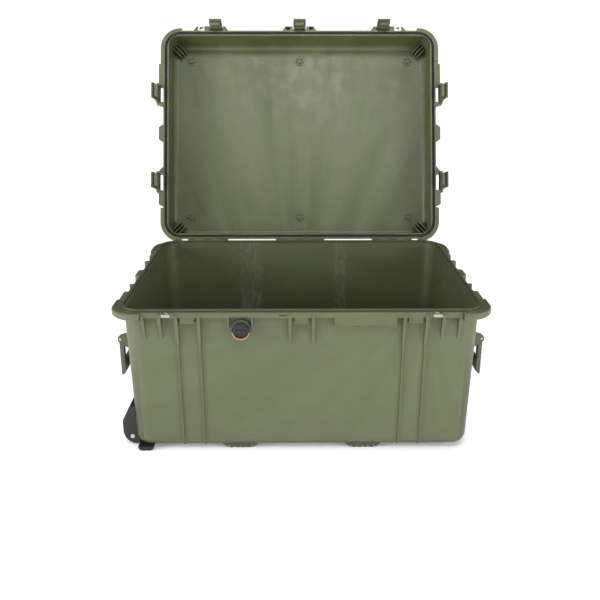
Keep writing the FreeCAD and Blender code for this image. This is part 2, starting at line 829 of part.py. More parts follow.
# hinge knuckles of the lid
for t, c, half in BLOCKS:
    for j, (x0, x1, low) in enumerate(knuckle_runs(c, half)):
        if not low:
            louter.append(
                cyl("lid_knuckle_%s_%d" % (t, j), "X", x0, HY, HZ, D["knuckle_rad"], x1 - x0)
            )
            pts = [
                (274, LZ + 17),
                (274, LZ + 4.5),
                (HY - 7.2, HZ + 3.2),
                (HY - 4, HZ),
                (HY + 7.4, HZ),
                (HY + 6, HZ + 11),
                (HY - 3, LZ + 17),
            ]
            louter.append(prism("lid_web_%s_%d" % (t, j), "YZ", pts, x0, x1))
    louter.append(box("lid_hinge_bar_" + t, c - half, c + half, 272, 286.5, LZ + 10, LZ + 17))

# stacking ribs on the lid's outside
louter.append(
    ring("lid_rib_outer", 334, 249, 327, 242, 34, TOP - 3, D["lid_rib_tall"] + 3)
)
louter.append(ring("lid_rib_inner", 288, 203, 282, 197, 24, TOP - 3, 13))
for i, x in enumerate((-250, -96, 96, 250)):
    for j, (y0, y1) in enumerate(((-245, -200), (200, 245))):
        louter.append(box("lid_cross_%d%d" % (i, j), x - 3, x + 3, y0, y1, TOP - 3, TOP + 14))
for i, y in enumerate((-150, 0, 150)):
    for j, (x0, x1) in enumerate(((-330, -285), (285, 330))):
        louter.append(box("lid_tie_%d%d" % (i, j), x0, x1, y - 3, y + 3, TOP - 3, TOP + 14))

lid_solid = fuse("lid_solid", louter)
ltools = [lid_in]
ltools.append(
    ring("gasket_groove", L + 10.6, W + 10.6, L + 3.4, W + 3.4, 42.5, LZ - 1, 9)
)
for s, t in ((-1, "left"), (1, "right")):
    ltools.append(cyl("lid_padlock_hole_" + t, "Z", s * 265, -(W + 20.4), LZ - 5, 4.6, 40))
    ltools.append(
        box("lid_plate_seat_" + t, s * 265 - 9.2, s * 265 + 9.2, -(W + 30), -(W + 13.6), LZ - 2, LZ + 3.3)
    )
for lx, t in FRONT:
    ltools.append(
        cyl("lid_latch_bore_" + t, "X", lx - 30, -(W + UO), LZ + 16, D["latch_pin_rad"] + 0.03, 60)
    )
for turn, t, s in SIDE:
    for k, ly in enumerate(LATCH_Y):
        ltools.append(
            cyl("lid_side_bore_%s_%d" % (t, k), "X", s * ly - 34, -(L + SO), LZ + 16, D["latch_pin_rad"] + 0.03, 68, turn)
        )
for i, s in enumerate((-1, 1)):
    ltools.append(box("lid_mid_slot_%d" % i, s * 31 - 5, s * 31 + 5, -(W + 24), -(W + 17), LZ, LZ + 12))
for t, c, half in BLOCKS:
    ltools.append(
        cyl("lid_hinge_bore_" + t, "X", c - half - 5, HY, HZ, D["pin_rad"] + 0.08, 2 * half + 10)
    )
lid_cut = cut("lid_hollow", lid_solid, ltools)

# bosses with ringed dimples on the inner panel, and gussets across the inner corners
linner = [lid_cut]
zp = LZ + D["lid_depth"]
for i, (bx, by) in enumerate(((-300, -222), (0, -222), (300, -222), (-300, 214), (0, 214), (300, 214))):
    linner.append(cyl("boss_%d" % i, "Z", bx, by, zp - 4.5, 5.5, 6))
    for j in range(6):
        a = math.radians(60 * j)
        linner.append(
            cyl("boss_%d_%d" % (i, j), "Z", bx + 9.6 * math.cos(a), by + 9.6 * math.sin(a), zp - 3.4, 2.9, 5)
        )
for i, (sx, sy) in enumerate(((1, 1), (1, -1), (-1, 1), (-1, -1))):
    for j, off in enumerate((-9, 0, 9)):
        g = doc.addObject("Part::Box", "gusset_%d_%d" % (i, j))
        g.Length, g.Width, g.Height = 34, 2.6, 26
        ang = math.degrees(math.atan2(sy, sx))
        d = Vector(math.cos(math.radians(ang)), math.sin(math.radians(ang)), 0)
        n = Vector(-d.y, d.x, 0)
        at = Vector(sx * 341, sy * 256, 0) - d * 30 + n * (off - 1.3)
        g.Placement = Placement(Vector(at.x, at.y, num(zp) - 24), Rotation(Vector(0, 0, 1), ang))
        g.setExpression("Placement.Base.z", (zp - 24).text)
        linner.append(g)
lid_shell = fuse("lid_shell", linner)

gasket = ring("lid_gasket", L + 10.4, W + 10.4, L + 3.6, W + 3.6, 42.3, RZ + 5.2, 4.1)
doc.recompute()
lid_plates = []
for s, t in ((-1, "left"), (1, "right")):
    lid_plates.append(
        cut(
            "lid_plate_" + t,
            box("lid_plate_blank_" + t, s * 265 - 9, s * 265 + 9, -(W + 27.6), -(W + 14), LZ + 1.4, LZ + 3.2),
            [cyl("lid_plate_hole_" + t, "Z", s * 265, -(W + 20.4), LZ - 5, 4.4, 20)],
        )
    )
lid_lock_plates = group("lid_lock_plates", lid_plates)

latch_pins = []
for lx, t in FRONT:
    latch_pins.append(
        cyl("latch_pin_" + t, "X", lx - FE - 5.5, -(W + UO), LZ + 16, D["latch_pin_rad"], 2 * (FE + 5.5))
    )
for turn, t, s in SIDE:
    for k, ly in enumerate(LATCH_Y):
        latch_pins.append(
            cyl("latch_pin_%s_%d" % (t, k), "X", s * ly - SE - 5.5, -(L + SO), LZ + 16, D["latch_pin_rad"], 2 * (SE + 5.5), turn)
        )
latch_pivot_pins = group("latch_pivot_pins", latch_pins)


# ---------------------------------------------------------------- latches
def latch(tag, w, half, pivot, wide, turn, crest):
    """A lever on the lid's pin, with a hook hung in it on its own pin.

    Drawn engaged: y is minus the distance from the middle of the case, z is height.
    """
    hw = wide / 2.0
    P = lambda u, z: (-(half + pivot + u), LZ + 16 + z)
    plate = [
        P(-0.6, crest - 2.4),
        P(2.4, crest),
        P(5.2, crest - 1.8),
        P(7.2, 2),
        P(6.8, -16),
        P(6.4, -34),
        P(8.4, -42),
        P(11.0, -46.5),
        P(9.0, -47.8),
        P(5.0, -43.5),
        P(3.2, -36),
        P(3.6, -16),
        P(4.0, -5.0),
        P(1.8, -4.2),
        P(-2.6, -3.6),
        P(-4.4, 0.5),
        P(-3.4, 5.2),
    ]
    w = as_q(w)
    parts = [prism(tag + "_plate", "YZ", plate, w - hw, w + hw, turn)]
    cheek = [
        P(5.2, -6),
        P(5.0, -33),
        P(-2.2, -27),
        P(-4.6, -21.5),
        P(-4.6, -15.0),
        P(1.0, -7.0),
    ]
    for j, e in enumerate((-1, 1)):
        a, b = (w - hw, w - hw + 4.2) if e < 0 else (w + hw - 4.2, w + hw)
        parts.append(prism(tag + "_cheek_%d" % j, "YZ", cheek, a, b, turn))
    # raised bars on the outside of the lever, for grip
    for j, z in enumerate((-2, -12, -22)):
        bar = [P(6.0, z + 2), P(8.3, z + 1.2), P(8.2, z - 1.2), P(6.0, z - 2)]
        parts.append(prism(tag + "_bar_%d" % j, "YZ", bar, w - hw + 4, w + hw - 4, turn))
    r1, r2 = D["latch_pin_rad"], 1.6
    lever = cut(
        "latch_%s_lever" % tag,
        fuse(tag + "_lever_solid", parts),
        [
            cyl(tag + "_bore_1", "X", w - hw - 5, -(half + pivot), LZ + 16, r1 + 0.08, wide + 10, turn),
            cyl(tag + "_bore_2", "X", w - hw - 5, -(half + pivot - 0.6), LZ - 2.4, r2 + 0.02, wide + 10, turn),
        ],
    )
    # the hook is narrower, and its lip reaches in under the catch
    hk = hw - 4.7
    hook = [
        P(-4.2, -18.4),
        P(-3.2, -15.4),
        P(0, -14.8),
        P(2.6, -16.2),
        P(2.9, -20),
        P(2.2, -34.5),
        P(2.4, -46.5),
        P(-0.5, -48.3),
        P(-5.4, -46.8),
        P(-6.4, -44.2),
        P(-6.2, -40.6),
        P(-2.6, -40.6),
        P(-2.4, -28),
        P(-3.9, -22),
    ]
    hook_solid = cut(
        "latch_%s_hook" % tag,
        prism(tag + "_hook_solid", "YZ", hook, w - hk, w + hk, turn),
        [cyl(tag + "_hook_bore", "X", w - hw, -(half + pivot - 0.6), LZ - 2.4, r2 + 0.08, wide, turn)],
    )
    pin = group(
        "latch_%s_pin" % tag,
        [cyl(tag + "_link_pin", "X", w - hw + 0.2, -(half + pivot - 0.6), LZ - 2.4, r2, wide - 0.4, turn)],
    )
    return lever, hook_solid, pin


LATCHES = []
for lx, t in FRONT:
    LATCHES.append(("front_" + t, 0, lx, latch("front_" + t, lx, W, UO, 33.0, 0, 9.8), W, UO))
for turn, t, s in SIDE:
    for k, ly in enumerate(LATCH_Y):
        tag = "%s_%s" % (t, ("front", "rear")[k])
        LATCHES.append((tag, turn, s * ly, latch(tag, s * ly, L, SO, 42.0, turn, 15.0), L, SO))

# ---------------------------------------------------------------- lid parts opened about the hinge line
LID_POSE = Placement(
    Vector(),
    Rotation(Vector(1, 0, 0), -num(D["lid_open"])),
    Vector(0, num(HY), num(HZ)),
)
for obj in (lid_shell, gasket, lid_lock_plates, latch_pivot_pins):
    obj.Placement = LID_POSE
for tag, turn, w, (lever, hook, pin), half, pivot in LATCHES:
    x, y = spin_xy(w, -(num(half) + pivot), turn)
    axis = Rotation(Vector(0, 0, 1), turn).multVec(Vector(1, 0, 0))
    out = Placement(
        Vector(), Rotation(axis, -num(D["latch_hang"])), Vector(x, y, num(LZ) + 16)
    )
    x2, y2 = spin_xy(w, -(num(half) + pivot - 0.6), turn)
    tuck = Placement(
        Vector(), Rotation(axis, 0.2 * num(D["latch_hang"])), Vector(x2, y2, num(LZ) - 2.4)
    )
    lever.Placement = LID_POSE.multiply(out)
    pin.Placement = LID_POSE.multiply(out)
    hook.Placement = LID_POSE.multiply(out).multiply(tuck)

# ---------------------------------------------------------------- purge valve
vy = -(W + 11.0)


def on_valve(b):
    """The valve's parts are turned about their own Z, which points out of the front wall."""
    return place(b, vx, vy, vz, 0, Rotation(Vector(1, 0, 0), 90))


on_valve(
    turned(
        "purge_valve_body",
        [(0, -18), (8.9, -18), (8.9, 0), (14.6, 0), (14.6, 3.2), (0, 3.2)],
    )
)
on_valve(turned("purge_valve_ring", [(16, 8.2), (17.5, 8.2), (17.9, 9.4), (17.6, 11), (16, 11)]))
nut = body("purge_valve_nut")
sk = sketch(nut, "valve_nut_plan", "XY_Plane", -18)
hexa = [(14 * math.cos(math.radians(60 * i)), 14 * math.sin(math.radians(60 * i))) for i in range(6)]
outline(sk, hexa)
p = pad(nut, sk, 5)
sk2 = sketch(nut, "valve_nut_bore", "XY_Plane", -13)
sk2.addGeometry(Part.Circle(Vector(0, 0, 0), Vector(0, 0, 1), 8.95), False)
sk2.addConstraint(Sketcher.Constraint("Coincident", 0, 3, -1, 1))
sk2.addConstraint(Sketcher.Constraint("Radius", 0, 8.95))
q = nut.newObject("PartDesign::Pocket", "valve_nut_hole")
q.Profile = sk2
q.Length = 5
nut.Tip = q
on_valve(nut)
knob = turned(
    "purge_valve_knob",
    [(0, 3.9), (16.6, 3.9), (17.0, 5), (17.0, 7.6), (15.9, 8.0), (15.9, 11.3), (14.8, 12.9), (12.5, 13.6), (12.5, 11.4), (0, 11.4)],
)
bar = sketch(knob, "knob_bar_plan", "XY_Plane", 10)
outline(bar, [(-11.4, -2), (11.4, -2), (11.4, 2), (-11.4, 2)])
pad(knob, bar, 3.2)
sk = sketch(knob, "knob_scallop_plan", "XY_Plane", 15)
sk.addGeometry(Part.Circle(Vector(18.2, 0, 0), Vector(0, 0, 1), 2.2), False)
sk.addConstraint(Sketcher.Constraint("DistanceX", -1, 1, 0, 3, 18.2))
sk.addConstraint(Sketcher.Constraint("PointOnObject", 0, 3, -1))
sk.addConstraint(Sketcher.Constraint("Radius", 0, 2.2))
q = knob.newObject("PartDesign::Pocket", "knob_scallop")
q.Profile = sk
q.Length = 12
knob.Tip = q
pat = knob.newObject("PartDesign::PolarPattern", "knob_scallops")
pat.Originals = [q]
pat.Axis = (sk, ["N_Axis"])
pat.Angle = 360
pat.Occurrences = 16
knob.Tip = pat
on_valve(knob)

# ---------------------------------------------------------------- end handles
for turn, t, s in SIDE:
    U = lambda u, z: (-(L + ho + u), hz + z)
    arm = [
        U(-4.2, 0),
        U(-3, 3.2),
        U(0, 4.4),
        U(3, 3.2),
        U(4.3, 0),
        U(4.3, -53),
        U(4.0, -86),
        U(0.5, -87),
        U(-5.2, -81),
        U(-5.4, -63),
        U(-4.2, -47),
    ]
    parts = []
    for j, (a, b) in enumerate(((-hh, -(hh - 17)), (hh - 17, hh))):
        parts.append(prism("%s_handle_arm_%d" % (t, j), "YZ", arm, a, b, turn))
    bar_pts = [
        U(4.3, -59),
        U(4.0, -86),
        U(0.5, -87),
        U(-5.2, -81),
        U(-5.4, -63),
        U(-2, -57.5),
        U(2, -57),
    ]
    parts.append(prism("%s_handle_bar" % t, "YZ", bar_pts, -hh + 4, hh - 4, turn))
    cut(
        "handle_%s" % t,
        fuse("%s_handle_solid" % t, parts),
        [cyl("%s_handle_hole" % t, "X", -(hh + 10), -(L + ho), hz, 2.58, 2 * (hh + 10), turn)],
    )
hp = []
for turn, t, s in SIDE:
    for j, a in enumerate((-hh - 8.4, hh - 14)):
        hp.append(cyl("%s_handle_pin_%d" % (t, j), "X", a, -(L + ho), hz, 2.5, 22.4, turn))
group("handle_pins", hp)

# ---------------------------------------------------------------- wheel housings, wheels, axles
wx, wz, wr = D["wheel_x"], D["wheel_z"], D["wheel_rad"]
profile = [
    (-334.4, 65.6),
    (-350.5, 65.6),
    (-351.3, 91),
    (-361.5, 91),
    (-378.6, 58),
    (-378.6, 30),
    (-374.5, 18),
    (-367, 9),
    (-358, 4.5),
    (-349, 3.4),
    (-344, 8.6),
    (-334.4, 8.6),
]
heel = [(-345, 8.8), (-341.5, 2.2), (-337.5, 0), (-319, 0), (-314.5, 2.2), (-311, 8.8)]
axles, screws = [], []
for s, t in ((-1, "front"), (1, "rear")):
    y0, y1 = (-237.2, -174.8) if s < 0 else (174.8, 237.2)
    h0, h1 = (-262, -224) if s < 0 else (224, 262)
    block = fuse(
        "housing_whole_" + t,
        [prism("housing_block_" + t, "XZ", profile, y0, y1), prism("housing_heel_" + t, "XZ", heel, h0, h1)],
    )
    wy = s * D["wheel_y"]
    slot = cyl("housing_slot_" + t, "Y", wx, wy - 16.2, wz, wr + 1.6, 32.4)
    under = box("housing_under_" + t, wx - 60, wx + 21.4, wy - 16.2, wy + 16.2, -5, wz)
    front = box("housing_front_" + t, wx - 60, wx, wy - 16.2, wy + 16.2, wz, wz + wr + 1.6)
    bore = cyl("housing_bore_" + t, "Y", wx, wy - 60, wz, D["axle_rad"] + 0.02, 120)
    cuts = [slot, under, front, bore]
    for i, (y, z) in enumerate(SCREW_YZ):
        if y * s > 0:
            cuts.append(cyl("housing_sink_%s_%d" % (t, i), "X", -400, y, z, 5.4, 42))
            cuts.append(cyl("housing_clear_%s_%d" % (t, i), "X", -370, y, z, 2.3, 22))
    # recess in the outer cheek round the axle's head
    cy = -237.2 if s < 0 else 234.9
    cuts.append(cyl("housing_dish_" + t, "Y", wx, cy - 0.5, wz, 5.8, 2.8 + 0.5 if s < 0 else 3.3))
    cut("wheel_housing_" + t, block, cuts)
    head = turned("axle_" + t, [(0, 0), (4.6, 0), (5.2, 0.8), (5.2, 2.2), (4, 2.2), (4, 61.6), (0, 61.6)])
    if s < 0:
        place(head, wx, -237.0, wz, 0, Rotation(Vector(1, 0, 0), -90))
    else:
        place(head, wx, 237.0, wz, 0, Rotation(Vector(1, 0, 0), 90))
    axles.append(head)
    tyre = turned(
        "tyre_" + t,
        [(14.6, -15), (18.6, -15), (20.0, -13), (wr, -9), (wr, 9), (20.0, 13), (18.6, 15), (14.6, 15), (14.6, 6), (15.6, 4), (15.6, -4), (14.6, -6)],
    )
    hub = turned(
        "wheel_hub_" + t,
        [(10, -15), (14.5, -15), (14.5, -6), (15.5, -4), (15.5, 4), (14.5, 6), (14.5, 15), (10, 15), (10, 8), (7, 8), (7, -8), (10, -8)],
    )
    ba = turned("bearing_%s_a" % t, [(4.05, -15), (9.97, -15), (9.97, -8), (4.05, -8)])
    bb = turned("bearing_%s_b" % t, [(4.05, 8), (9.97, 8), (9.97, 15), (4.05, 15)])
    for piece in (tyre, hub, ba, bb):
        place(piece, wx, wy, wz, 0, Rotation(Vector(1, 0, 0), -90))
    group("wheel_bearings_" + t, [ba, bb])
    for i, (y, z) in enumerate(SCREW_YZ):
        if y * s > 0:
            f = turned(
                "housing_screw_%d" % i,
                [(0, -12), (2, -12), (2, 0), (4.6, 0), (4.6, 2.4), (3.2, 3.6), (1.4, 3.6), (1.0, 2.4), (0, 2.4)],
            )
            place(f, -358.1, y, z, 0, Rotation(Vector(0, 1, 0), -90))
            screws.append(f)
group("wheel_axles", axles)
group("wheel_housing_screws", screws)

# ---------------------------------------------------------------- pull handle
gy, gz = D["guide_y"], D["guide_z"]
guides, tubes = [], []
for s, t in ((-1, "front"), (1, "rear")):
    a = box("guide_out_" + t, -136, 290, s * gy - 12, s * gy + 12, gz - 7.5, gz + 7.5)
    b = box("guide_in_" + t, -134, 292, s * gy - 10.5, s * gy + 10.5, gz - 6, gz + 6)
    guides.append(cut("guide_" + t, a, [b]))
    a = box("tube_out_" + t, -130, 328, s * gy - 10.2, s * gy + 10.2, gz - 5.7, gz + 5.7)
    b = box("tube_in_" + t, -140, 322, s * gy - 8.7, s * gy + 8.7, gz - 4.2, gz + 4.2)
    tubes.append(cut("tube_" + t, a, [b]))
group("pull_handle_guides", guides)
group("pull_handle_tubes", tubes)
grip = body("grip_solid")
sk = sketch(grip, "grip_plan", "XY_Plane", gz - 7.4)
outline(
    sk,
    [(321, -82), (332, -82), (339.5, -76), (341.6, -60), (341.6, 60), (339.5, 76), (332, 82), (321, 82), (319.4, 78), (319.4, -78)],
)
p = pad(grip, sk, 14.8)
round_edges(grip, p, lambda e: e.BoundBox.ZMax - e.BoundBox.ZMin < 0.1, 2.2, "grip_round")
gc = []
for s, t in ((-1, "front"), (1, "rear")):
    gc.append(box("grip_socket_" + t, 302, 328.2, s * gy - 10.3, s * gy + 10.3, gz - 5.8, gz + 5.8))
gc.append(box("grip_button_hole", 333, 352, -14.3, 14.3, gz - 4.3, gz + 4.3))
cut("pull_handle_grip", grip, gc)
btn = body("pull_handle_button")
sk = sketch(btn, "button_plan", "YZ_Plane", 336.2)
outline(sk, [(-14, as_q(gz) - 4), (14, as_q(gz) - 4), (14, as_q(gz) + 4), (-14, as_q(gz) + 4)])
p = pad(btn, sk, 6.2)
round_edges(btn, p, lambda e: e.BoundBox.XMin > 342.3, 0.8, "button_round")

cover = [
    box("cover_plate", -138, 292, -84.6, 84.6, 9.2, 12.2),
    box("cover_rib", -130, 284, -4, 4, 0, 10),
]
cover.append(prism("cover_lip", "YZ", [(-20, 12.2), (-24, 9.2), (24, 9.2), (20, 12.2)], -130, 282))
holes = []
for i, (x, y) in enumerate(POSTS):
    holes.append(cyl("cover_hole_%d" % i, "Z", x, y, 0, 2.1, 20))
    holes.append(cyl("cover_sink_%d" % i, "Z", x, y, 5, 3.9, 6.0))
cut("pull_handle_cover", fuse("cover_solid", cover), holes)
cs = []
for i, (x, y) in enumerate(POSTS):
    c = turned("cover_screw_%d" % i, [(0, 0), (3.6, 0), (3.6, 1.4), (1.8, 1.6), (1.8, 14), (0, 14)])
    place(c, x, y, 9.3)
    cs.append(c)
group("cover_screws", cs)

# ---------------------------------------------------------------- write each node
NODES = (
    ["base_shell", "base_lock_plates", "hinge_pins", "lid_shell", "lid_gasket", "lid_lock_plates", "latch_pivot_pins"]
    + ["latch_%s_%s" % (tag, k) for tag, *rest in LATCHES for k in ("lever", "hook", "pin")]
    + ["purge_valve_body", "purge_valve_ring", "purge_valve_nut", "purge_valve_knob"]
    + ["handle_left", "handle_right", "handle_pins"]
    + ["wheel_housing_front", "wheel_housing_rear", "wheel_axles", "wheel_housing_screws"]
    + ["%s_%s" % (k, t) for t in ("front", "rear") for k in ("tyre", "wheel_hub", "wheel_bearings")]
    + ["pull_handle_guides", "pull_handle_tubes", "pull_handle_grip", "pull_handle_button", "pull_handle_cover", "cover_screws"]
)
doc.recompute()
bad = []
for o in doc.Objects:
    if any(x in ("Invalid", "Error") for x in o.State):
        bad.append("%s: %s" % (o.Name, ", ".join(o.State)))
named = {}
for n in NODES:
    found = [o for o in doc.Objects if o.Label == n]
    if len(found) != 1:
        bad.append("%s: %d objects carry this label" % (n, len(found)))
        continue
    named[n] = found[0]
    shape = found[0].Shape
    if shape.isNull() or not shape.isValid() or not shape.Solids:
        bad.append("%s: shape is null, not valid or has no solid" % n)
if bad:
    raise RuntimeError("\n".join(bad))
os.makedirs("parts", exist_ok=True)
for n, o in named.items():
    o.Shape.exportStep("parts/%s.step" % n)
    bb = o.Shape.BoundBox
    print(
        "%-28s %d solids %10.0f mm3  x %.1f..%.1f y %.1f..%.1f z %.1f..%.1f"
        % (n, len(o.Shape.Solids), o.Shape.Volume, bb.XMin, bb.XMax, bb.YMin, bb.YMax, bb.ZMin, bb.ZMax)
    )
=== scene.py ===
import math

import bmesh
import bpy
from mathutils import Euler, Matrix, Vector

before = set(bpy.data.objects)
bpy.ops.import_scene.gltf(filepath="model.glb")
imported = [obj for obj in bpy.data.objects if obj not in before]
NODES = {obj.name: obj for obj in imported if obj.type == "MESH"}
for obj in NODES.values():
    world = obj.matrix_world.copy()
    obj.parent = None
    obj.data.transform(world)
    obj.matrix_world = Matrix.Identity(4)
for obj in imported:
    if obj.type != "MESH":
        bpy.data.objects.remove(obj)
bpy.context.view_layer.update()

scene = bpy.context.scene
scene.view_settings.view_transform = "Standard"
scene.view_settings.look = "None"
scene.view_settings.exposure = 0.0
scene.view_settings.gamma = 1.0

HINGE = Vector((0, 0.2885, 0.314))
LID_ANGLE = math.radians(110)


# ---------------------------------------------------------------- shader building
class Mat:
    """A procedural material: short helpers that add nodes and return their output sockets."""

    def __init__(self, name):
        self.m = bpy.data.materials.new(name)
        self.m.use_nodes = True
        self.t = self.m.node_tree
        self.b = self.t.nodes["Principled BSDF"]
        tc = self.t.nodes.new("ShaderNodeTexCoord")
        self.obj = tc.outputs["Object"]

    def node(self, kind, **props):
        n = self.t.nodes.new(kind)
        for k, v in props.items():
            setattr(n, k, v)
        return n

    def link(self, a, b):
        self.t.links.new(a, b)

    def put(self, socket, value):
        if hasattr(value, "is_output"):
            self.link(value, socket)
        elif isinstance(value, (tuple, list)) and len(value) == 3 and socket.type == "RGBA":
            socket.default_value = (*value, 1)
        else:
            socket.default_value = value

    def math(self, op, a, b=0.5, c=None, clamp=False):
        n = self.node("ShaderNodeMath", operation=op, use_clamp=clamp)
        self.put(n.inputs[0], a)
        self.put(n.inputs[1], b)
        if c is not None:
            self.put(n.inputs[2], c)
        return n.outputs[0]

    def vec(self, op, a, b=None):
        n = self.node("ShaderNodeVectorMath", operation=op)
        self.put(n.inputs[0], a)
        if b is not None:
            self.put(n.inputs[1], b)
        return n.outputs["Value"] if op in ("DOT_PRODUCT", "LENGTH", "DISTANCE") else n.outputs[0]

    def split(self, v):
        n = self.node("ShaderNodeSeparateXYZ")
        self.link(v, n.inputs[0])
        return n.outputs

    def join(self, x, y, z):
        n = self.node("ShaderNodeCombineXYZ")
        for s, v in zip(n.inputs, (x, y, z)):
            self.put(s, v)
        return n.outputs[0]

    def scaled(self, v, s):
        return self.vec("MULTIPLY", v, s)

    def noise(self, v, scale, detail=3.0, rough=0.55, distort=0.0):
        n = self.node("ShaderNodeTexNoise")
        self.put(n.inputs["Vector"], v)
        n.inputs["Scale"].default_value = scale
        n.inputs["Detail"].default_value = detail
        n.inputs["Roughness"].default_value = rough
        n.inputs["Distortion"].default_value = distort
        return n.outputs["Fac"]

    def voronoi(self, v, scale, feature="F1", metric="EUCLIDEAN"):
        n = self.node("ShaderNodeTexVoronoi", feature=feature, distance=metric)
        self.put(n.inputs["Vector"], v)
        n.inputs["Scale"].default_value = scale
        return n.outputs["Distance"]

    def span(self, v, a, b, lo=0.0, hi=1.0, smooth=True):
        n = self.node("ShaderNodeMapRange", clamp=True)
        if smooth:
            n.interpolation_type = "SMOOTHSTEP"
        self.put(n.inputs["Value"], v)
        for k, x in (("From Min", a), ("From Max", b), ("To Min", lo), ("To Max", hi)):
            n.inputs[k].default_value = x
        return n.outputs["Result"]

    def mix(self, fac, a, b, kind="MIX"):
        n = self.node("ShaderNodeMix", data_type="RGBA", blend_type=kind)
        self.put(n.inputs["Factor"], fac)
        sockets = [s for s in n.inputs if s.type == "RGBA"]
        self.put(sockets[0], a)
        self.put(sockets[1], b)
        return [s for s in n.outputs if s.type == "RGBA"][0]

    def normal(self):
        return self.node("ShaderNodeNewGeometry").outputs["Normal"]

    def object_normal(self):
        n = self.node("ShaderNodeVectorTransform", vector_type="NORMAL", convert_from="WORLD", convert_to="OBJECT")
        self.link(self.normal(), n.inputs[0])
        return n.outputs[0]

    def edge(self, radius, lo=0.02, hi=0.25):
        """1 along convex and concave edges, 0 on flats."""
        bev = self.node("ShaderNodeBevel", samples=4)
        bev.inputs["Radius"].default_value = radius
        d = self.vec("DOT_PRODUCT", bev.outputs[0], self.normal())
        return self.span(self.math("SUBTRACT", 1.0, d), lo, hi)

    def hollow(self, distance, lo=0.0, hi=1.0):
        """1 deep in a corner or crevice, 0 in the open."""
        ao = self.node("ShaderNodeAmbientOcclusion", samples=4)
        ao.inputs["Distance"].default_value = distance
        return self.span(self.math("SUBTRACT", 1.0, ao.outputs["AO"]), lo, hi)

    def finish(self, colour, rough, height=None, distance=0.0001, strength=1.0, **sockets):
        self.put(self.b.inputs["Base Color"], colour)
        self.put(self.b.inputs["Roughness"], rough)
        if height is not None:
            n = self.node("ShaderNodeBump")
            n.inputs["Strength"].default_value = strength
            n.inputs["Distance"].default_value = distance
            self.link(height, n.inputs["Height"])
            self.link(n.outputs[0], self.b.inputs["Normal"])
        for k, v in sockets.items():
            self.b.inputs[k.replace("_", " ")].default_value = v
        return self.m


def srgb(r, g, b):
    def f(c):
        c /= 255
        return c / 12.92 if c <= 0.04045 else ((c + 0.055) / 1.055) ** 2.4

    return (f(r), f(g), f(b))


def scale(c, k):
    return tuple(x * k for x in c)


OLIVE = (0.088, 0.101, 0.044)
OLIVE_PALE = (0.108, 0.122, 0.060)
OLIVE_DEEP = (0.070, 0.083, 0.032)


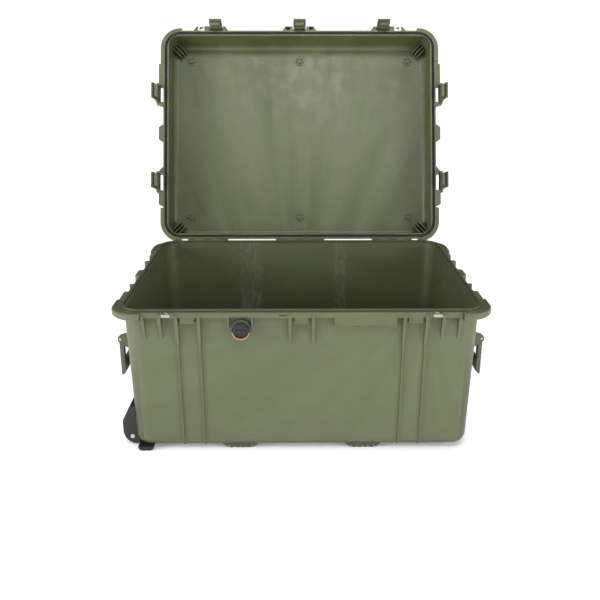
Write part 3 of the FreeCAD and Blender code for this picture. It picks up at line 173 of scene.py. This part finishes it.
def shell_material(name, lid=False, tone=1.0, seed=0.0):
    """Moulded olive polypropylene: flow marks, streaks, fine grain, scuffs and rubbed edges."""
    m = Mat(name)
    p = m.obj
    if lid:
        # back to the closed lid's coordinates, so that streaks follow the moulding
        v = m.vec("SUBTRACT", p, tuple(HINGE))
        rot = m.node("ShaderNodeVectorRotate", rotation_type="X_AXIS")
        m.link(v, rot.inputs["Vector"])
        rot.inputs["Angle"].default_value = LID_ANGLE
        p = rot.outputs[0]
    x, y, z = m.split(p)
    big = m.noise(m.scaled(p, (2.2, 2.2, 2.2)), 1.0, 2.0, 0.5)
    mottle = m.noise(p, 26.0, 4.0, 0.6)
    # flow marks fan out from where the plastic entered the mould
    if lid:
        down = m.math("SUBTRACT", 0.42, y)
        across = m.math("MULTIPLY", x, 1.0)
    else:
        down = m.math("SUBTRACT", 0.34, z)
        across = m.math("ADD", x, m.math("MULTIPLY", y, 0.9))
    fan = m.math("ARCTAN2", across, down)
    far = m.vec("LENGTH", m.join(across, down, 0.0))
    third = m.math("MULTIPLY", z if lid else y, 5.0)
    streak = m.noise(m.join(m.math("MULTIPLY", fan, 9.0), m.math("MULTIPLY", far, 0.7), third), 1.0, 4.0, 0.55, 0.2)
    fine = m.noise(m.join(m.math("MULTIPLY", fan, 42.0), m.math("MULTIPLY", far, 5.0), third), 1.0, 3.0, 0.6, 0.3)
    grain = m.noise(p, 900.0, 2.0, 0.7)
    tone_mix = m.math("MULTIPLY_ADD", streak, 0.62, m.math("MULTIPLY", big, 0.38))
    fac = m.span(tone_mix, 0.38, 0.62) if lid else m.span(tone_mix, 0.18, 0.82)
    col = m.mix(fac, scale(OLIVE_DEEP, tone), scale(OLIVE_PALE, tone))
    col = m.mix(0.1 if lid else 0.4, col, scale(OLIVE, tone))
    # fine grain and mottling, light and dark
    g = m.span(grain, 0.25, 0.75, 0.93, 1.07)
    g2 = m.span(mottle, 0.25, 0.75, 0.95, 1.05)
    g3 = m.span(fine, 0.25, 0.75, 0.955, 1.045) if lid else m.span(fine, 0.25, 0.75, 0.980, 1.020)
    k = m.math("MULTIPLY", m.math("MULTIPLY", g, g2), g3)
    shade = m.node("ShaderNodeCombineColor")
    for s in shade.inputs[:3]:
        m.link(k, s)
    col = m.mix(1.0, col, shade.outputs[0], "MULTIPLY")
    scuff_noise = m.noise(m.join(m.math("MULTIPLY", x, 70.0), m.math("MULTIPLY", y, 40.0), m.math("MULTIPLY", z, 24.0)), 1.0, 6.0, 0.7, 1.2)
    if lid:
        # darker bands that close in on the middle of the hinge side
        v1 = m.math("ABSOLUTE", m.math("SUBTRACT", m.math("ABSOLUTE", x), m.math("MULTIPLY", m.math("SUBTRACT", 0.24, y), 0.42)))
        band = m.math("MULTIPLY", m.span(v1, 0.0, 0.045, 1.0, 0.0), m.span(m.noise(p, 11.0, 3.0), 0.3, 0.65, 0.15, 0.55))
        col = m.mix(band, col, scale(OLIVE_DEEP, 0.92 * tone))
        scuffs = m.math("MULTIPLY", m.span(scuff_noise, 0.60, 0.74, 0.0, 0.30), m.span(m.noise(p, 7.0, 2.0), 0.48, 0.66))
        col = m.mix(scuffs, col, scale((0.185, 0.196, 0.145), tone))
    else:
        # the flange runs a little darker than the walls
        lip = m.math("MULTIPLY", m.span(z, 0.3145, 0.3152), 0.85)
        col = m.mix(lip, col, scale(OLIVE_DEEP, 0.72))
        # painted shade: the inside darkens towards the floor, where the walls block the light
        lean = m.math("MULTIPLY", m.math("SUBTRACT", z, 0.012), 0.031)
        ax = m.math("SUBTRACT", m.math("ABSOLUTE", x), lean)
        ay = m.math("SUBTRACT", m.math("ABSOLUTE", y), lean)
        inside = m.math("MULTIPLY", m.span(ax, 0.3446, 0.3454, 1.0, 0.0), m.span(ay, 0.2593, 0.2601, 1.0, 0.0))
        deep = m.math("MULTIPLY", inside, m.span(z, 0.27, 0.09, 0.0, 0.62))
        col = m.mix(deep, col, scale(OLIVE_DEEP, 0.45))
        # rubbed bands inside, where cargo has slid against the back wall
        inner = m.math("MULTIPLY", m.span(y, 0.247, 0.252), inside)
        b1 = m.math("MULTIPLY", m.span(x, -0.163, -0.154), m.span(x, -0.106, -0.098, 1.0, 0.0))
        b2 = m.math("MULTIPLY", m.span(x, 0.084, 0.090), m.span(x, 0.120, 0.128, 1.0, 0.0))
        rubs = m.math("MULTIPLY", m.math("ADD", b1, b2), m.math("MULTIPLY", inner, m.span(scuff_noise, 0.42, 0.66, 0.04, 0.50)))
        col = m.mix(rubs, col, (0.190, 0.200, 0.150))
        scuffs = m.math("MULTIPLY", m.span(scuff_noise, 0.62, 0.76, 0.0, 0.24), m.span(m.noise(p, 6.0, 2.0), 0.50, 0.66))
        col = m.mix(scuffs, col, (0.180, 0.190, 0.140))
    # rubbed, paler edges
    edge = m.edge(0.0012, 0.03, 0.30)
    rub = m.math("MULTIPLY", edge, m.span(m.noise(p, 60.0, 3.0), 0.40, 0.70, 0.15, 0.70))
    col = m.mix(rub, col, scale((0.200, 0.214, 0.150), tone))
    # painted shade in corners, made patchy with noise
    nook_shade = m.math("MULTIPLY", m.hollow(0.02, 0.35, 0.95), m.span(m.noise(p, 45.0, 3.0), 0.35, 0.75, 0.10, 0.6))
    col = m.mix(nook_shade, col, scale((0.060, 0.064, 0.040), tone))
    # painted shade: crevices darkened almost to black
    crevice = m.math("MULTIPLY", m.hollow(0.006, 0.42, 0.9), 0.75)
    col = m.mix(crevice, col, scale((0.030, 0.033, 0.020), tone))
    rough = m.math("ADD", m.span(mottle, 0.3, 0.7, 0.36 if lid else 0.42, 0.47 if lid else 0.54), m.span(grain, 0.3, 0.7, -0.03, 0.03))
    rough = m.math("ADD", rough, m.span(fine, 0.35, 0.7, -0.03, 0.04))
    height = m.math("ADD", m.math("MULTIPLY", grain, 0.35), m.math("MULTIPLY", m.noise(p, 2600.0, 1.0, 0.5), 0.25))
    height = m.math("ADD", height, m.math("MULTIPLY", m.noise(p, 9.0, 1.0, 0.5), 2.0))
    return m.finish(col, rough, height, 0.00012, 0.6, Specular_IOR_Level=0.5)


def small_olive(name, base, rough0=0.42):
    """Harder moulded parts in the same colour family: latches and end handles."""
    m = Mat(name)
    p = m.obj
    big = m.noise(p, 14.0, 3.0)
    grain = m.noise(p, 1100.0, 2.0, 0.7)
    col = m.mix(m.span(big, 0.3, 0.7), scale(base, 0.86), scale(base, 1.16))
    g = m.span(grain, 0.25, 0.75, 0.94, 1.06)
    shade = m.node("ShaderNodeCombineColor")
    for s in shade.inputs[:3]:
        m.link(g, s)
    col = m.mix(1.0, col, shade.outputs[0], "MULTIPLY")
    edge = m.edge(0.0008, 0.03, 0.30)
    rub = m.math("MULTIPLY", edge, m.span(m.noise(p, 120.0, 3.0), 0.35, 0.70, 0.15, 0.8))
    col = m.mix(rub, col, scale(base, 1.7))
    # painted shade: darker in the hollows of latches and handles
    nook_shade = m.math("MULTIPLY", m.hollow(0.008, 0.35, 0.95), 0.35)
    col = m.mix(nook_shade, col, scale(base, 0.55))
    rough = m.span(big, 0.3, 0.7, rough0 - 0.05, rough0 + 0.07)
    height = m.math("ADD", m.math("MULTIPLY", grain, 0.4), m.math("MULTIPLY", m.noise(p, 30.0, 1.0), 1.2))
    return m.finish(col, rough, height, 0.00008, 0.6, Specular_IOR_Level=0.5)


def black_moulded(name, base=(0.0095, 0.0095, 0.0110), rough0=0.52, grain_scale=1300.0):
    m = Mat(name)
    p = m.obj
    big = m.noise(p, 18.0, 3.0)
    grain = m.noise(p, grain_scale, 2.0, 0.7)
    col = m.mix(m.span(big, 0.3, 0.7), scale(base, 0.8), scale(base, 1.35))
    edge = m.edge(0.0008, 0.03, 0.30)
    rub = m.math("MULTIPLY", edge, m.span(m.noise(p, 110.0, 3.0), 0.35, 0.7, 0.1, 0.7))
    col = m.mix(rub, col, scale(base, 3.2))
    dust = m.math("MULTIPLY", m.hollow(0.01, 0.3, 0.95), m.span(m.noise(p, 70.0, 3.0), 0.4, 0.7, 0.0, 0.35))
    col = m.mix(dust, col, (0.09, 0.088, 0.08))
    rough = m.span(big, 0.3, 0.7, rough0 - 0.06, rough0 + 0.08)
    height = m.math("ADD", m.math("MULTIPLY", grain, 0.5), m.math("MULTIPLY", m.noise(p, 40.0, 1.0), 0.8))
    return m.finish(col, rough, height, 0.00008, 0.7, Specular_IOR_Level=0.5)


def rubber(name, base, rough0=0.72, shaded_top=False):
    m = Mat(name)
    p = m.obj
    big = m.noise(p, 35.0, 4.0)
    fine = m.noise(p, 1600.0, 2.0, 0.7)
    col = m.mix(m.span(big, 0.3, 0.7), scale(base, 0.75), scale(base, 1.5))
    dust = m.math("MULTIPLY", m.hollow(0.006, 0.25, 0.9), m.span(m.noise(p, 90.0, 3.0), 0.4, 0.7, 0.05, 0.45))
    col = m.mix(dust, col, (0.10, 0.097, 0.088))
    if shaded_top:
        # painted shade: the upper half of the ring is darkened, standing in for the shadow cast over it
        up = m.split(p)[2]
        col = m.mix(m.span(up, 0.2745, 0.2775), col, (0.016, 0.015, 0.015))
    rough = m.span(big, 0.3, 0.7, rough0 - 0.08, rough0 + 0.1)
    return m.finish(col, rough, fine, 0.0001, 0.6, Specular_IOR_Level=0.35)


def steel(name, axis=0, base=(0.42, 0.42, 0.41), rough0=0.34):
    m = Mat(name)
    p = m.obj
    stretch = [1400.0, 1400.0, 1400.0]
    stretch[axis] = 30.0
    brush = m.noise(m.scaled(p, tuple(stretch)), 1.0, 2.0, 0.6)
    blot = m.noise(p, 60.0, 3.0)
    col = m.mix(m.span(brush, 0.3, 0.7), scale(base, 0.84), scale(base, 1.12))
    col = m.mix(m.span(blot, 0.5, 0.85, 0.0, 0.35), col, (0.34, 0.33, 0.31))
    rough = m.math("ADD", m.span(brush, 0.3, 0.7, rough0 - 0.05, rough0 + 0.08), m.span(blot, 0.4, 0.8, 0.0, 0.12))
    return m.finish(col, rough, brush, 0.00003, 0.5, Metallic=1.0)


MATS = {
    "tub": shell_material("olive_shell_tub"),
    "lid": shell_material("olive_shell_lid", lid=True),
    "latch": small_olive("olive_latch", (0.098, 0.106, 0.058)),
    "handle": small_olive("olive_handle", (0.098, 0.108, 0.060), 0.46),
    "steel": steel("stainless", 0),
    "steel_y": steel("stainless_pins", 1, (0.50, 0.50, 0.49), 0.32),
    "gasket": rubber("gasket_rubber", (0.020, 0.020, 0.019), 0.8),
    "black": black_moulded("black_plastic"),
    "button": black_moulded("button_black", (0.028, 0.028, 0.028), 0.35, 900.0),
    "ring": rubber("ring_orange", (0.72, 0.26, 0.16), 0.45, shaded_top=True),
    "tyre": rubber("tyre_black", (0.024, 0.024, 0.024), 0.75),
    "hub": black_moulded("hub_grey", (0.055, 0.055, 0.055), 0.45),
    "tube": steel("aluminium_tube", 0, (0.62, 0.62, 0.63), 0.3),
}


def which(node):
    if node == "base_shell":
        return "tub"
    if node == "lid_shell":
        return "lid"
    if node.endswith(("_lever", "_hook")):
        return "latch"
    if node in ("handle_left", "handle_right"):
        return "handle"
    if node == "lid_gasket":
        return "gasket"
    if node == "purge_valve_ring":
        return "ring"
    if node.startswith("purge_valve") or node.startswith("wheel_housing_") and "screws" not in node:
        return "black"
    if node in ("pull_handle_cover", "pull_handle_grip"):
        return "black"
    if node == "pull_handle_button":
        return "button"
    if node.startswith("tyre"):
        return "tyre"
    if node.startswith("wheel_hub"):
        return "hub"
    if node in ("pull_handle_guides", "pull_handle_tubes"):
        return "tube"
    if node in ("handle_pins", "wheel_axles") or "_left_" in node or "_right_" in node:
        return "steel_y"
    return "steel"


# ---------------------------------------------------------------- finish of the CAD pieces
BEVEL = {"base_shell": 0.0007, "lid_shell": 0.0007}


def soften(o, width):
    """Rounds the sharp edges a little and shades the rest smooth."""
    me = o.data
    if me.has_custom_normals:
        bpy.context.view_layer.objects.active = o
        with bpy.context.temp_override(object=o, active_object=o, selected_editable_objects=[o]):
            bpy.ops.mesh.customdata_custom_splitnormals_clear()
    me.polygons.foreach_set("use_smooth", [True] * len(me.polygons))
    w = o.modifiers.new("weld", "WELD")
    w.merge_threshold = 0.00001
    d = o.modifiers.new("planes", "DECIMATE")
    d.decimate_type = "DISSOLVE"
    d.angle_limit = math.radians(0.4)
    b = o.modifiers.new("round", "BEVEL")
    b.limit_method = "ANGLE"
    b.angle_limit = math.radians(32)
    b.width = width
    b.segments = 2
    b.use_clamp_overlap = True
    b.harden_normals = False
    n = o.modifiers.new("normals", "WEIGHTED_NORMAL")
    n.keep_sharp = False
    n.weight = 70


for name, o in NODES.items():
    o.data.materials.clear()
    o.data.materials.append(MATS[which(name)])
    soften(o, BEVEL.get(name, 0.0004))

# ---------------------------------------------------------------- floor, light and camera
FILL = 0.18
floor_mesh = bpy.data.meshes.new("floor")
bm = bmesh.new()
bmesh.ops.create_grid(bm, x_segments=1, y_segments=1, size=30)
bm.to_mesh(floor_mesh)
bm.free()
floor = bpy.data.objects.new("floor", floor_mesh)
scene.collection.objects.link(floor)
floor.location = (0, 0, -0.0004)
fm = Mat("floor_paper")
fn = fm.noise(fm.obj, 3.0, 3.0)
floor_mesh.materials.append(
    fm.finish(
        fm.mix(fm.span(fn, 0.3, 0.7), (0.93, 0.93, 0.93), (0.95, 0.95, 0.95)),
        0.9,
        Specular_IOR_Level=0.1,
        Emission_Color=(1.0, 1.0, 1.0, 1.0),
    )
)
# a lit sweep: the paper glows a little, less so right beside the case, where the dip is a painted contact shadow
fx, fy, fz = fm.split(fm.obj)
beside_x = fm.math("MAXIMUM", fm.math("SUBTRACT", fm.math("ABSOLUTE", fx), 0.33), 0.0)
beside_y = fm.math("MAXIMUM", fm.math("SUBTRACT", fm.math("ABSOLUTE", fy), 0.25), 0.0)
away = fm.vec("LENGTH", fm.join(beside_x, beside_y, 0.0))
glow = fm.math("ADD", fm.span(away, 0.0, 0.075, 0.16, 0.50), fm.span(away, 0.8, 3.0, 0.0, 0.45))
fm.link(glow, fm.b.inputs["Emission Strength"])

# the backdrop is plain white where it's seen, and a dimmer fill where it lights
world = bpy.data.worlds.new("studio")
world.use_nodes = True
wt = world.node_tree
fill = wt.nodes["Background"]
fill.inputs[0].default_value = (1, 1, 1, 1)
fill.inputs[1].default_value = FILL
seen = wt.nodes.new("ShaderNodeBackground")
seen.inputs[0].default_value = (1, 1, 1, 1)
seen.inputs[1].default_value = 1.15
path = wt.nodes.new("ShaderNodeLightPath")
both = wt.nodes.new("ShaderNodeMixShader")
wt.links.new(path.outputs["Is Camera Ray"], both.inputs[0])
wt.links.new(fill.outputs[0], both.inputs[1])
wt.links.new(seen.outputs[0], both.inputs[2])
wt.links.new(both.outputs[0], wt.nodes["World Output"].inputs["Surface"])
scene.world = world


def area(name, where, at, size, power, size_y=None, spread=180):
    data = bpy.data.lights.new(name, "AREA")
    data.energy = power
    data.shape = "RECTANGLE"
    data.size = size
    data.size_y = size_y or size
    data.spread = math.radians(spread)
    o = bpy.data.objects.new(name, data)
    scene.collection.objects.link(o)
    o.location = where
    o.rotation_euler = (Vector(at) - Vector(where)).to_track_quat("-Z", "Y").to_euler()
    return o


area("front_top", (0.10, -2.15, 3.0), (0, 0.1, 0.45), 1.4, 44, 0.7)
area("key_left", (-2.6, -1.35, 0.80), (0, 0, 0.25), 1.0, 60, 1.2)
area("key_right", (2.4, -1.75, 0.85), (0, 0, 0.25), 1.0, 44, 1.2)
sun = bpy.data.lights.new("ceiling", "SUN")
sun.energy = 0.8
sun.angle = math.radians(75)
ceiling = bpy.data.objects.new("ceiling", sun)
scene.collection.objects.link(ceiling)
ceiling.rotation_euler = Euler((math.radians(-8), 0, 0), "XYZ")

cam_data = bpy.data.cameras.new("camera")
cam_data.sensor_width = 36
cam_data.lens = 45.10
cam_data.clip_start = 0.05
cam = bpy.data.objects.new("camera", cam_data)
scene.collection.objects.link(cam)
cam.location = (-0.0119, -1.664, 0.8108)
cam.rotation_euler = Euler((math.radians(71.26), 0, math.radians(-0.35)), "XYZ")
scene.camera = cam
